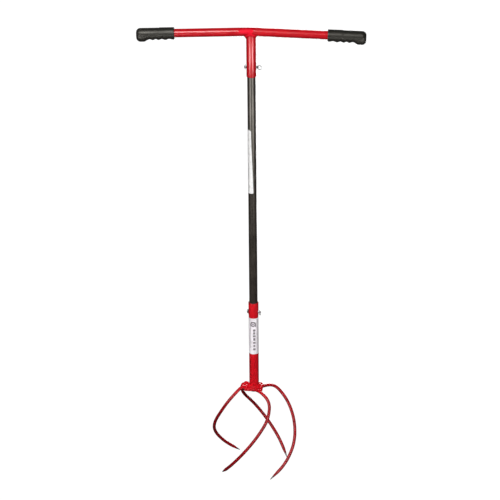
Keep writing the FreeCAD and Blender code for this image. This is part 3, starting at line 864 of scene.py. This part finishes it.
def tine(name, line, turn):
    """A bent round rod, drawn out by hand to a blunt point, with a cut end in the weld."""
    path = np.vstack([line, line[-1] + unit(line[-1] - line[-2]) * np.array([[0.3], [0.55], [0.72], [0.79]])])
    step = np.linalg.norm(np.diff(path, axis=0), axis=1)
    left = np.concatenate([np.cumsum(step[::-1])[::-1], [0]])
    drawn = math.dist(*TINE_TIP_CORNERS[-2:]) / 2
    share = np.clip((drawn + TIP_RADIUS - left) / drawn, 0, 1)
    radius = TINE_RADIUS + (TIP_RADIUS - TINE_RADIUS) * share ** 1.35
    ball = left < TIP_RADIUS
    radius[ball] = np.sqrt(np.clip(TIP_RADIUS ** 2 - (TIP_RADIUS - left[ball]) ** 2, 0.0025, None))
    radius[:2] *= (0.86, 0.97)
    path, around = turn_z(path, turn), 28
    rings = swept(path, radius, around)
    flat = rings.reshape(-1, 3)
    away = unit(flat - np.repeat(path, around, 0))
    worked = np.repeat(np.clip(1 - left / 55, 0, 1) * np.minimum(1, left / 3), around)
    dents = 0.5 * (1 + ripple(flat, 0.22, turn * 9)) * worked * 0.32
    dents = dents + 0.5 * (1 + ripple(flat, 0.09, turn)) * 0.07
    flat = flat - away * (dents * np.minimum(1, np.repeat(radius, around) / TINE_RADIUS + 0.2))[:, None]
    return solid(name, *shell(flat.reshape(rings.shape)))


BARE_REACH = 11.0
RUBBED_REACH = 60.0


def tip_wear(turn):
    """Bare metal at a tine's point, with ragged paint behind it."""
    point = turn_z(TINE_TIP_CORNERS[-1:], turn)

    def wear(points):
        tip = np.linalg.norm(points - point, axis=1)
        return 0.95 * np.exp(-(tip / BARE_REACH) ** 1.8) + 0.16 * np.clip(1 - tip / RUBBED_REACH, 0, 1)
    return wear


# Painted shade: the tines' red is darkened all along, standing in for the dimmer light on the claw.
ROD_PAINTED_SHADE = 0.47
# How far from the hub's middle the tines' painted shade starts to change, and over what distance.
SHADE_START = 22.0
SHADE_REACH = 34.0


def tine_painted_shade(name):
    """A tine's painted shade: darker red all along, less of it near the hub, and a painted shadow, almost
    black, on the back tine where it leaves the weld.
    """
    change = 0.53 if name == "back_tine" else -0.36

    def soot(points):
        away = np.linalg.norm(points - (0.0, 0.0, HUB_Z), axis=1)
        return ROD_PAINTED_SHADE + change * np.exp(-(np.clip(away - SHADE_START, 0, None) / SHADE_REACH) ** 2)
    return soot


def hub_weld(runs):
    """The weld metal round the foot of the head tube, run out along the start of each tine."""
    outline = [(HUB_Z + rise, reach - 0.5) for rise, reach in HUB_OUTLINE]
    parts = [shell(lathed([(outline[0][0], 10.4)] + outline + [(outline[-1][0], 10.4)], 72), loop=True)]
    angles = np.arange(200) * 2 * math.pi / 200
    out = np.stack([np.cos(angles), np.sin(angles), 0 * angles], 1)
    path = out * (SOCKET_RADIUS + 0.8) + (0, 0, HUB_Z + 5.6)
    bead = 2.2 + 0.12 * np.sin(angles * 36) + 0.35 * ripple(path, 0.15, 3.0)
    parts.append(shell(swept(path, bead, 20, loop=True, out=out), loop=True))
    for place, radius in HUB_LUMPS:
        rise = np.linspace(-0.98, 0.98, 25)
        ball = np.stack([place[2] + radius * rise, radius * np.sqrt(1 - rise ** 2)], 1)
        parts.append(shell(lathed(ball, 36) + np.array([place[0], place[1], 0])))
    for run, girth in runs:
        girths = np.interp(np.arange(len(run)), [0, 4, 14, len(run) - 1], [3.5, girth, girth, 3.0])
        parts.append(shell(swept(run - (0, 0, girth - 4.2), girths, 20)))
    return melted("claw_hub_weld", parts, 0.55, 7, 0.10)


runs = []
for name, quarter in (("front_tine", 0), ("right_tine", 1), ("back_tine", 2), ("left_tine", 3)):
    turn = quarter * math.pi / 2
    line = tine_line(name)
    piece(tine(name + "_rod", line, turn), RED_ROD, "red_paint", "tool", name,
          wear=tip_wear(turn), soot=tine_painted_shade(name))
    length, girth = WELD_RUNS[name]
    runs.append((turn_z(line[:length], turn), girth))
# The hub's red is given a little painted shade all over.
piece(hub_weld(runs), RED_HUB, "red_paint", "tool", "hub_weld", soot=lambda p: np.full(len(p), 0.10))


# ---- Floor, light and camera ----

# The surround's brightness as a light, in reflections, and as the camera sees it.
AMBIENT_LEVEL = 0.05
GLOSS_LEVEL = 0.05
SEEN_LEVEL = 1.0
FLOOR_GLOW = 0.97
FLOOR_HALF_WIDTH = 40.0
FLOOR_GAP = 0.0002


def floor():
    """A plain pale floor under the tine tips."""
    half = FLOOR_HALF_WIDTH
    mesh = bpy.data.meshes.new("floor")
    corners = [(-half, -half, 0), (half, -half, 0), (half, half, 0), (-half, half, 0)]
    mesh.from_pydata(corners, [], [(0, 1, 2, 3)])
    obj = bpy.data.objects.new("floor", mesh)
    obj.location.z = -FLOOR_GAP
    scene.collection.objects.link(obj)
    s = Surface("pale_floor", Roughness=0.9)
    s.shader.inputs["Specular IOR Level"].default_value = 0.0
    s.shader.inputs["Emission Color"].default_value = (1.0, 1.0, 1.0, 1)
    s.shader.inputs["Emission Strength"].default_value = FLOOR_GLOW
    tone = s.mix(s.step(s.noise(3.0, 2.0), 0.3, 0.7), (0.070, 0.070, 0.070, 1), (0.085, 0.085, 0.085, 1))
    mesh.materials.append(s.use(tone))
    obj.visible_glossy = False
    obj.visible_diffuse = False


def light(name, place, aim, power, size, diffuse=True, glossy=True, spread=math.pi):
    """A soft rectangular light that the camera doesn't see."""
    data = bpy.data.lights.new(name, "AREA")
    data.energy = power
    data.shape = "RECTANGLE"
    data.size, data.size_y = size
    data.spread = spread
    obj = bpy.data.objects.new(name, data)
    scene.collection.objects.link(obj)
    obj.location = place
    obj.rotation_euler = (Vector(aim) - Vector(place)).to_track_quat("-Z", "Y").to_euler()
    obj.visible_camera = False
    obj.visible_diffuse = diffuse
    obj.visible_glossy = glossy


def sky():
    """An even pale surround: white behind the object, softer as a light."""
    world = bpy.data.worlds.new("studio")
    world.use_nodes = True
    scene.world = world
    nodes, links = world.node_tree.nodes, world.node_tree.links
    back = nodes["Background"]
    seen = nodes.new("ShaderNodeLightPath")
    level = None
    for ray, strength in (("Is Glossy Ray", GLOSS_LEVEL), ("Is Camera Ray", SEEN_LEVEL)):
        pick = nodes.new("ShaderNodeMix")
        links.new(seen.outputs[ray], pick.inputs[0])
        if level is None:
            pick.inputs[2].default_value = AMBIENT_LEVEL
        else:
            links.new(level, pick.inputs[2])
        pick.inputs[3].default_value = strength
        level = pick.outputs[0]
    links.new(level, back.inputs["Strength"])
    back.inputs["Color"].default_value = (1.0, 1.0, 1.0, 1)


SENSOR_WIDTH = 36.0
FOCAL_LENGTH = 245.304


def camera():
    """The camera in front of the tool, a little to its right, looking down at it."""
    away, height, azimuth = 7.04, 3.697, math.radians(3.75)
    pitch, roll = math.radians(24.10), math.radians(0.527)
    heading = azimuth + math.radians(0.0547)
    data = bpy.data.cameras.new("camera")
    data.sensor_width = SENSOR_WIDTH
    data.lens = FOCAL_LENGTH
    data.clip_end = 200.0
    obj = bpy.data.objects.new("camera", data)
    scene.collection.objects.link(obj)
    level = math.cos(pitch)
    ahead = Vector((-math.sin(heading) * level, math.cos(heading) * level, -math.sin(pitch)))
    right = ahead.cross(Vector((0, 0, 1))).normalized()
    up = right.cross(ahead)
    up, right = up * math.cos(roll) + right * math.sin(roll), right * math.cos(roll) - up * math.sin(roll)
    turn = Matrix((right, up, -ahead)).transposed().to_4x4()
    place = Vector((away * math.sin(azimuth), -away * math.cos(azimuth), height))
    obj.matrix_world = Matrix.Translation(place) @ turn
    scene.camera = obj


floor()
sky()
camera()
FILL_SPREAD = math.radians(60.0)
# The key, the fill and the two lights behind give the tone; the softboxes and strips give the highlights.
light("key", (0.10, -3.05, 2.75), (0.0, 0.0, 0.8), 128.0, (1.4, 1.0), glossy=False)
light("low_fill", (-0.35, -1.75, 0.85), (0.0, 0.0, 0.22), 1.5, (0.6, 0.5), glossy=False, spread=FILL_SPREAD)
light("bar_softbox", (-1.00, -2.20, 3.25), (0.0, 0.0, 1.07), 105.0, (1.3, 1.4), diffuse=False)
light("left_strip", (-0.795, -1.27, 0.46), (0.0, 0.0, 0.9), 11.0, (0.97, 0.28), diffuse=False)
light("right_strip", (0.85, -1.23, 0.46), (0.0, 0.0, 0.9), 11.0, (0.90, 0.28), diffuse=False)
light("back_left", (-1.50, 3.00, 1.90), (0.0, 0.0, 0.6), 75.0, (0.8, 1.6), glossy=False)
light("back_right", (1.50, 3.00, 1.90), (0.0, 0.0, 0.6), 75.0, (0.8, 1.6), glossy=False)
light("back_softbox", (0.25, 2.40, 0.25), (0.0, 0.0, 0.6), 45.0, (0.9, 1.4), diffuse=False)
scene.view_settings.view_transform = "Standard"
